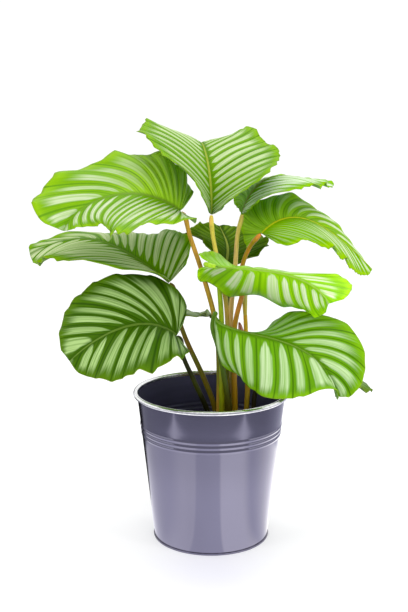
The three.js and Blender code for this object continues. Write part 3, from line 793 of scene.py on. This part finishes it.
def blade_points(leaf, vein, across, side):
    """Points of one half of the blade, and their place on the flat blade, in mm."""
    length, width, lobe = leaf["length"], leaf["width"], leaf["lobe"]
    turn = math.pi * vein
    notch = lobe * np.exp(-(turn / LOBE_SPREAD) ** 2)
    tip = TIP_REACH * np.exp(-((math.pi - turn) / TIP_SPREAD) ** 2)
    margin_along = length * ((1 - lobe - (1 + lobe) * np.cos(turn)) / 2 + notch + tip)
    fullness = np.maximum(np.sin(turn), 0) ** OUTLINE_FULLNESS
    margin_out = (0.5 * width * fullness * (1 + OUTLINE_SKEW * np.cos(turn))
                  * margin_waves(leaf, vein, side))
    rib_share = np.clip((vein - FIRST_VEIN) / (1 - FIRST_VEIN), 0, 1) ** of_side(leaf["sweep"], side)
    rib_along = LAST_VEIN * length * rib_share
    bend_along = rib_along + VEIN_BEND * (margin_along - rib_along)
    bend_out = VEIN_SPREAD * margin_out
    rest = 1 - across
    along = rib_along * rest ** 2 + 2 * bend_along * across * rest + margin_along * across ** 2
    out = 2 * bend_out * across * rest + margin_out * across ** 2
    place = np.clip(along / length, 0, 1)
    index = place / MIDRIB_STRETCH * MIDRIB_STEPS
    steps = np.arange(MIDRIB_STEPS + 1)
    position, forward, left, up = [
        np.stack([np.interp(index, steps, values[:, k]) for k in range(3)], -1)
        for values in midrib_of(leaf)]
    fold, curl = of_side((leaf["left"], leaf["right"]), side)
    bend = np.radians(through_three(curl, place)) * out / width
    angle = np.radians(through_three(fold, place)) + bend
    chord = out * np.sinc(bend / math.pi)
    swing = math.pi * leaf["waves"] * vein + (leaf["phase"] + side) / 2 - math.pi / 4
    wave = 1 - 2 * np.abs(np.sin(swing)) ** 1.2
    ruffle = (MARGIN_RUFFLE * liveliness(leaf, vein) * across ** 3
              * np.sqrt(np.maximum(np.sin(turn), 0)) * wave)
    sideways = side * (chord * np.cos(angle) - ruffle * np.sin(angle))
    upwards = chord * np.sin(angle) + ruffle * np.cos(angle)
    points = (position + forward * np.minimum(along, 0)[..., None]
              + left * sideways[..., None] + up * upwards[..., None])
    return points, along, side * out


def pleat_height(leaf, cycle, vein, across):
    """How far the pleats stand up from the smooth blade, in metres."""
    swell = np.clip(across / 0.3, 0, 1) * (1 - 0.35 * across) * np.clip(np.sin(math.pi * vein) * 4, 0, 1)
    single = np.clip((leaf["pairing"] - 0.14) / 0.08, 0, 1)
    ridges = -single * np.cos(4 * math.pi * cycle) - (1 - 0.7 * single) * np.cos(2 * math.pi * cycle)
    return 0.5 * PLEAT_DEPTH * swell * ridges


def filled_normals(normal):
    """Fills the places without a direction, at the base and tip, from the next row."""
    bad = np.linalg.norm(normal, axis=-1) < 0.5
    for i in list(range(len(normal) - 2, -1, -1)) + list(range(1, len(normal))):
        source = i + 1 if i < len(normal) - 1 and not bad[i + 1].all() else i - 1
        normal[i][bad[i]] = normal[source][bad[i]]
        bad[i] = np.linalg.norm(normal[i], axis=-1) < 0.5
    return normal


def blade_normals(leaf, vein, across, side):
    """The smooth blade's upward directions, from points a little around each point."""
    nudge = 1e-3
    around = []
    for ahead, out in ((nudge, 0), (-nudge, 0), (0, nudge), (0, -nudge)):
        near_vein, near_across = np.clip(vein + ahead, 0, 1), np.clip(across + out, 0, 1)
        around.append(blade_points(leaf, near_vein, near_across, side)[0])
    normal = np.cross(around[0] - around[1], around[2] - around[3]) * side
    size = np.linalg.norm(normal, axis=-1, keepdims=True)
    return filled_normals(np.where(size > 1e-9, normal / np.maximum(size, 1e-12), 0))


def blade_layers(leaf, vein, across):
    """The upper and lower points of both halves, and their coordinates on both maps."""
    tops, bottoms, coordinates = [], [], []
    for side in (1, -1):
        points, along, out = blade_points(leaf, vein, across, side)
        normal = blade_normals(leaf, vein, across, side)
        cycle = band_count(leaf, vein, side)
        thickness = BLADE_THICKNESS + (EDGE_THICKNESS - BLADE_THICKNESS) * across
        raised = points * MM + normal * pleat_height(leaf, cycle, vein, across)[..., None]
        tops.append(raised + 0.5 * normal * thickness[..., None])
        bottoms.append(raised - 0.5 * normal * thickness[..., None])
        coordinates.append(np.stack(
            [cycle, 0.5 + 0.5 * side * across, along / FLAT_MAP_UNIT, out / FLAT_MAP_UNIT], -1))
    # both halves share the midrib and the tip, so their points there are made one
    for layer in (tops, bottoms):
        for place in (np.s_[:, 0], -1):
            shared = 0.5 * (layer[0][place] + layer[1][place])
            layer[0][place] = shared
            layer[1][place] = shared
        for half in layer:
            half[0, :] = half[0, 0]
    return tops, bottoms, coordinates


def blade_mesh(name, leaf):
    """The blade as a closed sheet, with vein and flat-blade coordinates as UV maps."""
    vein, across = np.meshgrid(np.linspace(0, 1, ROWS_ALONG + 1),
                               np.linspace(0, 1, ROWS_ACROSS + 1) ** 0.9, indexing="ij")
    tops, bottoms, maps = blade_layers(leaf, vein, across)
    points, coordinates, faces, under = [], [], [], []
    for half, side in enumerate((1, -1)):
        edges = []
        for layer, facing in ((tops, 1), (bottoms, -1)):
            index = len(points) + np.arange(vein.size).reshape(vein.shape)
            edges.append(index[:, -1])
            points += layer[half].reshape(-1, 3).tolist()
            coordinates += maps[half].reshape(-1, 4).tolist()
            quads = np.stack([index[:-1, :-1], index[1:, :-1], index[1:, 1:], index[:-1, 1:]], -1)
            if side * facing < 0:
                quads = quads[..., ::-1]
            faces += quads.reshape(-1, 4).tolist()
            under += [int(facing < 0)] * (quads.shape[0] * quads.shape[1])
        top, low = edges
        rim = np.stack([top[:-1], top[1:], low[1:], low[:-1]], -1)
        if side < 0:
            rim = rim[..., ::-1]
        faces += rim.tolist()
        under += [0] * len(rim)
    mesh = new_mesh(name, points, faces)
    corner = np.zeros(len(mesh.loops), int)
    mesh.loops.foreach_get("vertex_index", corner)
    coordinates = np.array(coordinates)[corner]
    mesh.uv_layers.new(name="veins").data.foreach_set("uv", coordinates[:, :2].ravel())
    mesh.uv_layers.new(name="flat").data.foreach_set("uv", coordinates[:, 2:].ravel())
    mesh.polygons.foreach_set("material_index", under)
    mesh.polygons.foreach_set("use_smooth", [True] * len(mesh.polygons))
    shape = bmesh.new()
    shape.from_mesh(mesh)
    bmesh.ops.remove_doubles(shape, verts=shape.verts, dist=2e-6)
    bmesh.ops.dissolve_degenerate(shape, edges=shape.edges, dist=1e-6)
    shape.to_mesh(mesh)
    shape.free()
    return mesh


def let_through(skin, colour, share):
    """Lets a share of the light through the blade, tinted."""
    through = skin.node("ShaderNodeBsdfTranslucent")
    skin.feed(through.inputs["Color"], colour)
    mixed = skin.node("ShaderNodeMixShader")
    mixed.inputs[0].default_value = share
    skin.tree.links.new(skin.surface.outputs[0], mixed.inputs[1])
    skin.tree.links.new(through.outputs[0], mixed.inputs[2])
    skin.tree.links.new(mixed.outputs[0], skin.output.inputs["Surface"])


def blade_material(name, seed, leaf, green, deep, silver, shine, glow, onset):
    """The upper face: feathered silver strips, two in a band, between furrows darkened as painted shade."""
    skin = Shading(name)
    cycle, sided, _ = skin.split(skin.uv("veins"))
    along, outwards, _ = skin.split(skin.uv("flat"))
    across = abs(sided * 2.0 - 1.0)
    from_rib = abs(outwards)
    on_left = skin.maths("GREATER_THAN", sided, 0.5)
    from_middle = abs(skin.maths("FRACT", cycle) - 0.5)

    def by_side(left, right):
        return on_left * (left - right) + right

    def streaks(along_veins, over_band, shift, detail=2.0):
        """Noise drawn out along the veins."""
        return skin.noise(skin.join(cycle * over_band, sided * along_veins, seed * 3.7 + shift), 1.0, detail)

    chance = skin.node("ShaderNodeTexWhiteNoise", noise_dimensions="2D")
    strip_number = skin.maths("FLOOR", cycle * 2.0)
    skin.feed(chance.inputs["Vector"], skin.join(strip_number, on_left + seed * 2))
    luck = Wire(skin, chance.outputs["Value"])

    # silver: how wide each strip has swollen from the midrib, where it fades towards the
    # margin, and how strong it is near the base, held back on some halves as painted shade
    start = luck * 0.05 + 0.01
    swell = skin.ramp(across, start, start + leaf["rise"]) ** 0.6
    half_width = (luck * 0.035 + leaf["strip"]) * swell
    feather = (streaks(2.6, 17.0, 5.0, 3.0) - 0.5) * (0.75 * leaf["strip"])
    from_strip = abs(from_middle - leaf["pairing"]) + feather
    ragged = across + (streaks(1.2, 14.0, 3.0) * 0.26 - 0.13)
    silvered = (
        skin.ramp(from_strip, half_width - 0.035, half_width + 0.015, 1.0, 0.0)
        * skin.ramp(ragged, leaf["margin"], leaf["margin"] + 0.21, 1.0, 0.0)
        * skin.ramp(swell, 0.0, 0.3)
        * skin.ramp(along, 0.25, leaf["silvering"], by_side(*onset), 1.0)
        * (luck * 0.22 + 0.78))

    # green: brighter patches, painted light near the base of some halves, side veins,
    # painted shade along the furrows, and a fresh edge
    fine = streaks(2.2, 22.0, 9.0)
    side_vein = skin.maths("COSINE", cycle * (2 * math.pi * 8))
    furrow_shade = skin.ramp(from_middle, 0.455, 0.495)
    patchy = skin.noise(skin.place(shift=(seed * 0.17, 0, 0)), 22, 2)
    fresh = (min(1.0, 1.5 * green[0]), min(1.0, 1.25 * green[1]), green[2])
    body = skin.blend(skin.ramp(patchy, 0.35, 0.7, 0.0, 0.5), green, fresh)
    # painted light: a brighter green near the base of one half, where that half lies in shade
    if leaf["young"]:
        young = by_side(*leaf["young"]) * skin.ramp(along, 0.35, 1.0, 1.0, 0.0)
        body = skin.blend(young, body, PAINTED_LIGHT_GREEN)
        deep = skin.blend(young, deep, PAINTED_LIGHT_DEEP)
    body = skin.layers(
        body,
        (skin.ramp(side_vein, 0.2, 1.0, 0.0, 0.3), deep),
        (skin.ramp(fine, 0.35, 0.7, 0.35, 0.0), deep),
        (skin.ramp(across, 0.86, 0.98, 0.0, 0.8), fresh),
        # painted shade along the furrows, at the band's edges and between its two strips
        (furrow_shade * 0.85, deep),
        (skin.ramp(from_middle, 0.0, 0.03, 0.85, 0.0), deep))
    pale = skin.layers(
        silver,
        (skin.ramp(fine, 0.40, 0.66, 0.0, 0.42), green),
        (skin.ramp(side_vein, 0.35, 1.0, 0.0, 0.38), green))

    # the midrib, with darker green beside it, and the pale line along the margin
    rib_width = skin.ramp(along, 0.0, 1.5, 0.019, 0.003)
    colour = skin.layers(
        body,
        (silvered, pale),
        (skin.ramp(from_rib, 0.012, 0.06, 0.55, 0.0), deep),
        (skin.ramp(from_rib, rib_width, rib_width + 0.004, 0.8, 0.0), leaf["rib"]),
        (skin.ramp(across, 0.988, 0.998, 0.0, 0.5), MARGIN_LINE))
    skin.finish(
        Base_Color=colour,
        Roughness=silvered * 0.06 + shine,
        IOR=leaf["wax"],
        Normal=skin.bump(side_vein * 0.25 + fine, 0.0004, 0.6),
    )
    let_through(skin, skin.blend(0.45, colour, (0.32, 0.66, 0.02)), glow)
    return skin.material


def underside_material(name, seed, pale, dark, glow):
    """The lower face: dull grey-green, with the bands showing faintly through."""
    skin = Shading(name)
    cycle, _, _ = skin.split(skin.uv("veins"))
    vein_line = skin.ramp(abs(skin.maths("FRACT", cycle) - 0.5), 0.3, 0.5)
    mottle = skin.noise(skin.place(shift=(seed * 0.1, 0, 0)), 60, 3)
    colour = skin.layers(pale, (vein_line, dark), (skin.ramp(mottle, 0.3, 0.7, 0.0, 0.3), dark))
    skin.finish(Base_Color=colour, Roughness=0.55, IOR=1.12)
    let_through(skin, skin.blend(0.5, colour, (0.35, 0.7, 0.08)), glow)
    return skin.material


# Per leaf: green, deep green, silver, roughness, how much light comes through, and how
# strong the silver is at the base of the left and the right half. The tones hold painted
# light and shade: leaves 04 and 09 are darker as painted shade, 02, 05, 06, 07 and 10
# lighter as painted light, and the silver at the base of leaf 08's left half is held back
# as painted shade.
TONES = {
    "01": ((0.16, 0.375, 0.004), (0.05, 0.15, 0.001), (0.62, 0.73, 0.42), 0.34, 0.28, (0.8, 1)),
    "02": ((0.206, 0.45, 0.0055), (0.105, 0.28, 0.0028), (0.75, 0.81, 0.58), 0.33, 0.3, (1, 0.15)),
    "03": ((0.125, 0.3, 0.0008), (0.041, 0.129, 0.001), (0.56, 0.64, 0.36), 0.36, 0.12, (1, 1)),
    "04": ((0.053, 0.141, 0.0019), (0.021, 0.066, 0.001), (0.423, 0.608, 0.224), 0.34, 0.12, (1, 1)),
    "05": ((0.21, 0.49, 0.0002), (0.07, 0.23, 0.0002), (0.9, 0.97, 0.82), 0.34, 0.3, (0.05, 1)),
    "06": ((0.26, 0.54, 0.0008), (0.12, 0.31, 0.0004), (0.86, 0.92, 0.68), 0.33, 0.36, (0.05, 0.35)),
    "07": ((0.35, 0.74, 0.006), (0.19, 0.49, 0.0044), (0.95, 0.96, 0.78), 0.33, 0.32, (0.2, 1)),
    "08": ((0.148, 0.385, 0.004), (0.05, 0.148, 0.001), (0.682, 0.85, 0.5), 0.33, 0.2, (0, 0.7)),
    "09": ((0.07, 0.15, 0.0006), (0.014, 0.05, 0.0004), (0.13, 0.23, 0.012), 0.45, 0.08, (0.6, 0.6)),
    "10": ((0.17, 0.3, 0.03), (0.09, 0.16, 0.01), (0.48, 0.62, 0.28), 0.36, 0.15, (1, 1)),
    "11": ((0.082, 0.179, 0.0078), (0.036, 0.091, 0.0024), (0.244, 0.412, 0.082), 0.36, 0.15, (1, 1)),
}

for order, (number, leaf) in enumerate(LEAVES.items()):
    green, deep, silver, shine, glow, onset = TONES[number]
    mesh = blade_mesh(f"blade_{number}", leaf)
    mesh.materials.append(blade_material(
        f"blade_{number}_upper", order, leaf, green, deep, silver, shine, glow, onset))
    pale = [0.5 * g + 0.25 * s for g, s in zip(green, silver)]
    dark = [0.9 * g for g in green]
    mesh.materials.append(underside_material(f"blade_{number}_lower", order, pale, dark, glow))
    blade = added(f"blade_{number}", mesh)
    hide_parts(f"leaf_{number}")
    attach(blade, "root")


# Stalks
# Every blade stands on its own long stalk, round and fleshy, that comes out of the soil
# and thickens into a knee just below the blade.

STALK_FOOT_RADIUS, STALK_TOP_RADIUS, KNEE_RADIUS = 3.5, 2.3, 2.6
KNEE_LENGTH, KNEE_BEND, STALK_GAP, STALK_GAP_PER_LOBE = 16, 7, 0.8, 13
STALK_STEPS, STALK_SIDES, STEPS_BETWEEN = 90, 20, 24


def smooth_path(points, count):
    """count evenly spaced points on a centripetal Catmull-Rom curve through points."""
    points = np.array(points, float)
    first = 2 * points[0] - points[1]
    last = 2 * points[-1] - points[-2]
    points = np.vstack([first, points, last])
    dense = []
    for p0, p1, p2, p3 in zip(points, points[1:], points[2:], points[3:]):
        t01, t12, t23 = (max(np.linalg.norm(b - a), 1e-4) ** 0.5 for a, b in ((p0, p1), (p1, p2), (p2, p3)))
        m1 = ((p1 - p0) / t01 - (p2 - p0) / (t01 + t12) + (p2 - p1) / t12) * t12
        m2 = ((p2 - p1) / t12 - (p3 - p1) / (t12 + t23) + (p3 - p2) / t23) * t12
        t = np.linspace(0, 1, STEPS_BETWEEN, endpoint=False)[:, None]
        dense.append((2 * t ** 3 - 3 * t ** 2 + 1) * p1 + (t ** 3 - 2 * t ** 2 + t) * m1
                     + (-2 * t ** 3 + 3 * t ** 2) * p2 + (t ** 3 - t ** 2) * m2)
    dense = np.vstack(dense + [points[-2][None]])
    run = np.concatenate([[0], np.cumsum(np.linalg.norm(np.diff(dense, axis=0), axis=1))])
    wanted = np.linspace(0, run[-1], count)
    return np.stack([np.interp(wanted, run, dense[:, k]) for k in range(3)], 1), run[-1]


def tube_tree():
    """Sweeps a circle along the input's line: the radius comes from each point."""
    tree = new_tree("stalk_tube", Geometry="Geometry", Sides="Int", Skin="Material")
    into = tree_node(tree, "NodeGroupInput")
    out = tree_node(tree, "NodeGroupOutput")
    line = tree_node(tree, "GeometryNodeMeshToCurve")
    thick = tree_node(tree, "GeometryNodeSetCurveRadius")
    radius = tree_node(tree, "GeometryNodeInputNamedAttribute", data_type="FLOAT", Name="radius_m")
    circle = tree_node(tree, "GeometryNodeCurvePrimitiveCircle", Radius=1.0)
    sweep = tree_node(tree, "GeometryNodeCurveToMesh", Fill_Caps=True)
    smooth = tree_node(tree, "GeometryNodeSetShadeSmooth")
    real = tree_node(tree, "GeometryNodeRealizeInstances")
    skin = tree_node(tree, "GeometryNodeSetMaterial")
    wire_up(
        tree,
        (into, "Geometry", line, "Mesh"),
        (line, "Curve", thick, "Curve"),
        (radius, "Attribute", thick, "Radius"),
        (into, "Sides", circle, "Resolution"),
        (thick, "Curve", sweep, "Curve"),
        (circle, "Curve", sweep, "Profile Curve"),
        (radius, "Attribute", sweep, "Scale"),
        (sweep, "Mesh", smooth, "Geometry"),
        (smooth, "Geometry", real, "Geometry"),
        (real, "Geometry", skin, "Geometry"),
        (into, "Skin", skin, "Material"),
        (skin, "Geometry", out, "Geometry"),
    )
    return tree


tube = tube_tree()


def stalk_piece(name, points, radii, material):
    """A closed tube along points, with the share of its length kept as an attribute."""
    steps = len(points)
    mesh = new_mesh(f"{name}_line", (points * MM).tolist(), [], [(i, i + 1) for i in range(steps - 1)])
    for key, values in (("radius_m", radii * MM), ("along", np.linspace(0, 1, steps))):
        mesh.attributes.new(key, "FLOAT", "POINT").data.foreach_set("value", values)
    return grown(name, mesh, tube, Sides=STALK_SIDES, Skin=material)


def stalk_material(name, seed, low, high, blotches):
    """Fleshy, from one colour at the foot to another at the top, blotched and streaked."""
    skin = Shading(name)
    streak = skin.noise(skin.place(scale=(1, 1, 0.06), shift=(seed * 0.13, 0, 0)), 900, 3)
    blotch = skin.noise(skin.place(scale=(1, 1, 0.4), shift=(seed * 0.21, 0, 0)), 55, 2)
    colour = skin.layers(
        low,
        (skin.ramp(skin.attribute("along"), 0.25, 0.85), high),
        (skin.ramp(blotch, 0.42, 0.68, 0.0, 0.75), blotches),
        (skin.ramp(streak, 0.4, 0.75, 0.0, 0.3), (0.02, 0.02, 0.004)))
    skin.finish(
        Base_Color=colour,
        Roughness=0.38,
        Specular_IOR_Level=0.25,
        Normal=skin.bump(streak, 0.00015, 0.4),
    )
    return skin.material


# Per stalk: the colours of its foot, its top and its blotches. The darkest tones, of 04, 08,
# 09, 10 and 11, are painted shade, and the orange-tan tops of 01 and 05 are partly their
# own colour and partly a painted highlight.
STALK_TONES = {
    "01": ((0.14, 0.193, 0.0014), (0.74, 0.6, 0.09), (0.78, 0.4, 0.1)),
    "02": ((0.104, 0.161, 0.001), (0.48, 0.27, 0.02), (0.6, 0.3, 0.04)),
    "03": ((0.137, 0.097, 0.001), (0.12, 0.142, 0.001), (0.188, 0.09, 0.001)),
    "04": ((0.0068, 0.0059, 0.0011), (0.017, 0.02, 0.0014), (0.046, 0.055, 0.0018)),
    "05": ((0.2, 0.256, 0.001), (0.74, 0.58, 0.13), (0.78, 0.4, 0.2)),
    "06": ((0.44, 0.23, 0.004), (0.64, 0.23, 0.03), (0.314, 0.26, 0.005)),
    "07": ((0.202, 0.188, 0.001), (0.3, 0.58, 0.02), (0.336, 0.478, 0.001)),
    "08": ((0.056, 0.027, 0.001), (0.09, 0.2, 0.006), (0.09, 0.1, 0.003)),
    "09": ((0.05, 0.055, 0.004), (0.09, 0.11, 0.01), (0.09, 0.055, 0.004)),
    "10": ((0.05, 0.055, 0.004), (0.07, 0.1, 0.008), (0.09, 0.055, 0.004)),
    "11": ((0.034, 0.017, 0.004), (0.04, 0.031, 0.0082), (0.062, 0.017, 0.004)),
}

for order, (number, leaf) in enumerate(LEAVES.items()):
    base = np.array(leaf["base"], float)
    forward = midrib_of(leaf)[1][0]
    gap = STALK_GAP + STALK_GAP_PER_LOBE * leaf["lobe"]
    route, total = smooth_path(
        leaf["path"] + [base - KNEE_BEND * forward, base - gap * forward], STALK_STEPS)
    share = np.linspace(0, 1, STALK_STEPS)
    from_top = total * (1 - share)
    knee = (KNEE_RADIUS - STALK_TOP_RADIUS) * np.clip((KNEE_LENGTH - from_top) / 3 + 0.5, 0, 1)
    radii = STALK_FOOT_RADIUS + (STALK_TOP_RADIUS - STALK_FOOT_RADIUS) * share + knee
    radii[-2:] *= (0.93, 0.7)
    skin = stalk_material(f"stalk_{number}_skin", order, *STALK_TONES[number])
    stalk = stalk_piece(f"stem_{number}", route, radii, skin)
    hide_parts(f"stalk_{number}")
    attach(stalk, "root")


# Young leaf
# The newest leaf is still a tight roll on its own stalk: its free edge winds up the
# roll. The dry, curled tip of a brown sheath stands off the stalk below it.

YOUNG_PATH = [(40, 0, 84), (40, 0, 143), (41, 2, 173), (39, 9, 237), (38, 13, 262), (38, 17, 308)]
YOUNG_STEPS = 160
ROLL_START, ROLL_RADIUS, ROLL_TIP, ROLL_OVERLAP = 0.74, 3.4, 0.5, 3
ROLL_SIDES, ROLL_LEDGE, ROLL_TURNS = 28, 0.16, 1.3
SHEATH_PATH = [(36.5, 7, 232), (33.5, 5, 239), (31.5, 4, 246)]
SHEATH_STEPS, SHEATH_SIDES = 26, 12
SHEATH_FOOT, SHEATH_BELLY, SHEATH_TIP, SHEATH_THICKNESS = 2.6, 4.0, 1.8, 0.4
SHEATH_SPREAD, SHEATH_CLOSING, SHEATH_SHIFT = 125, 15, 0.4


def directions_along(route):
    """Sideways and upward directions along a route, without twist."""
    forward = np.gradient(route, axis=0)
    forward /= np.linalg.norm(forward, axis=1)[:, None]
    sideways = []
    last = np.array([1.0, 0.0, 0.0])
    for direction in forward:
        last = last - direction * last.dot(direction)
        last = last / np.linalg.norm(last)
        sideways.append(last)
    sideways = np.array(sideways)
    return sideways, np.cross(forward, sideways)


def closed_tube(name, rings, material):
    """Skins rings of points, each a closed outline, and caps both ends."""
    count, sides = rings.shape[:2]
    caps = [tuple(range(sides - 1, -1, -1)), tuple(range((count - 1) * sides, count * sides))]
    mesh = new_mesh(name, (rings.reshape(-1, 3) * MM).tolist(), lattice(count, sides) + caps)
    mesh.polygons.foreach_set("use_smooth", [True] * len(mesh.polygons))
    along = np.repeat(np.linspace(0, 1, count), sides)
    mesh.attributes.new("along", "FLOAT", "POINT").data.foreach_set("value", along)
    mesh.materials.append(material)
    piece = added(name, mesh)
    outward(piece)
    return piece


young_route, _ = smooth_path(YOUNG_PATH, YOUNG_STEPS)
rolled_from = round(ROLL_START * YOUNG_STEPS)
lower = young_route[:rolled_from + ROLL_OVERLAP]
young_skin = stalk_material("young_stem_skin", 20, (0.34, 0.22, 0.01), (0.70, 0.44, 0.02), (0.70, 0.38, 0.02))
young_stem = stalk_piece(
    "young_stem", lower, np.linspace(STALK_FOOT_RADIUS, STALK_TOP_RADIUS, len(lower)), young_skin)

upper = young_route[rolled_from:]
share = np.linspace(0, 1, len(upper))
roll_radius = (STALK_TOP_RADIUS + (ROLL_TIP - STALK_TOP_RADIUS) * share ** 2
               + (ROLL_RADIUS - STALK_TOP_RADIUS) * np.sin(math.pi * share))
roll_rings = []
for centre, side, up, radius, rise in zip(upper, *directions_along(upper), roll_radius, share):
    turn = 2 * math.pi * np.arange(ROLL_SIDES) / (ROLL_SIDES - 1)
    reach = radius * (1 - ROLL_LEDGE * turn / (2 * math.pi))
    turn = turn + 2 * math.pi * ROLL_TURNS * rise
    roll_rings.append(centre + np.outer(reach * np.cos(turn), side) + np.outer(reach * np.sin(turn), up))

spear_skin = Shading("young_spear_skin")
spear_vein = spear_skin.noise(spear_skin.place(scale=(1, 1, 0.08)), 700, 2)
spear_skin.finish(
    Base_Color=spear_skin.layers(
        (0.62, 0.44, 0.03),
        (spear_skin.ramp(spear_skin.attribute("along"), 0.1, 0.7), (0.20, 0.36, 0.02)),
        (spear_skin.ramp(spear_vein, 0.42, 0.62, 0.0, 0.7), (0.62, 0.60, 0.16))),
    Roughness=0.42,
    Normal=spear_skin.bump(spear_vein, 0.0003, 0.5),
)
young_spear = closed_tube("young_spear", np.array(roll_rings), spear_skin.material)

sheath_route, _ = smooth_path(SHEATH_PATH, SHEATH_STEPS)
sheath_rings = []
for i, (centre, side, up) in enumerate(zip(sheath_route, *directions_along(sheath_route))):
    rise = i / (SHEATH_STEPS - 1)
    reach = (SHEATH_FOOT + (SHEATH_TIP - SHEATH_FOOT) * rise
             + (SHEATH_BELLY - SHEATH_FOOT) * math.sin(math.pi * rise))
    spread = math.radians(SHEATH_SPREAD - SHEATH_CLOSING * rise)
    turn = np.linspace(-spread, spread, SHEATH_SIDES)
    outside = reach * (1 + 0.06 * np.sin(5 * turn + 9 * rise))
    within = outside - min(SHEATH_THICKNESS, 0.5 * reach)
    outline = []
    for radius, bearing in ((outside, turn), (within[::-1], turn[::-1])):
        outline.append(np.outer(radius * np.cos(bearing), side) + np.outer(radius * np.sin(bearing), up))
    sheath_rings.append(centre + np.vstack(outline) - SHEATH_SHIFT * reach * side)

sheath_skin = Shading("dry_sheath_skin")
fibre = sheath_skin.noise(sheath_skin.place(scale=(1, 1, 0.1)), 1100, 3)
sheath_skin.finish(
    Base_Color=sheath_skin.blend(
        sheath_skin.ramp(fibre, 0.35, 0.65), (0.24, 0.060, 0.040), (0.52, 0.21, 0.14)),
    Roughness=0.75,
    Normal=sheath_skin.bump(fibre, 0.0003, 0.7),
)
dry_sheath = closed_tube("dry_sheath", np.array(sheath_rings), sheath_skin.material)

for piece, finish in ((young_stem, "stalk"), (young_spear, "leaf"), (dry_sheath, "stalk")):
    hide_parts("young_leaf")
    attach(piece, "root")
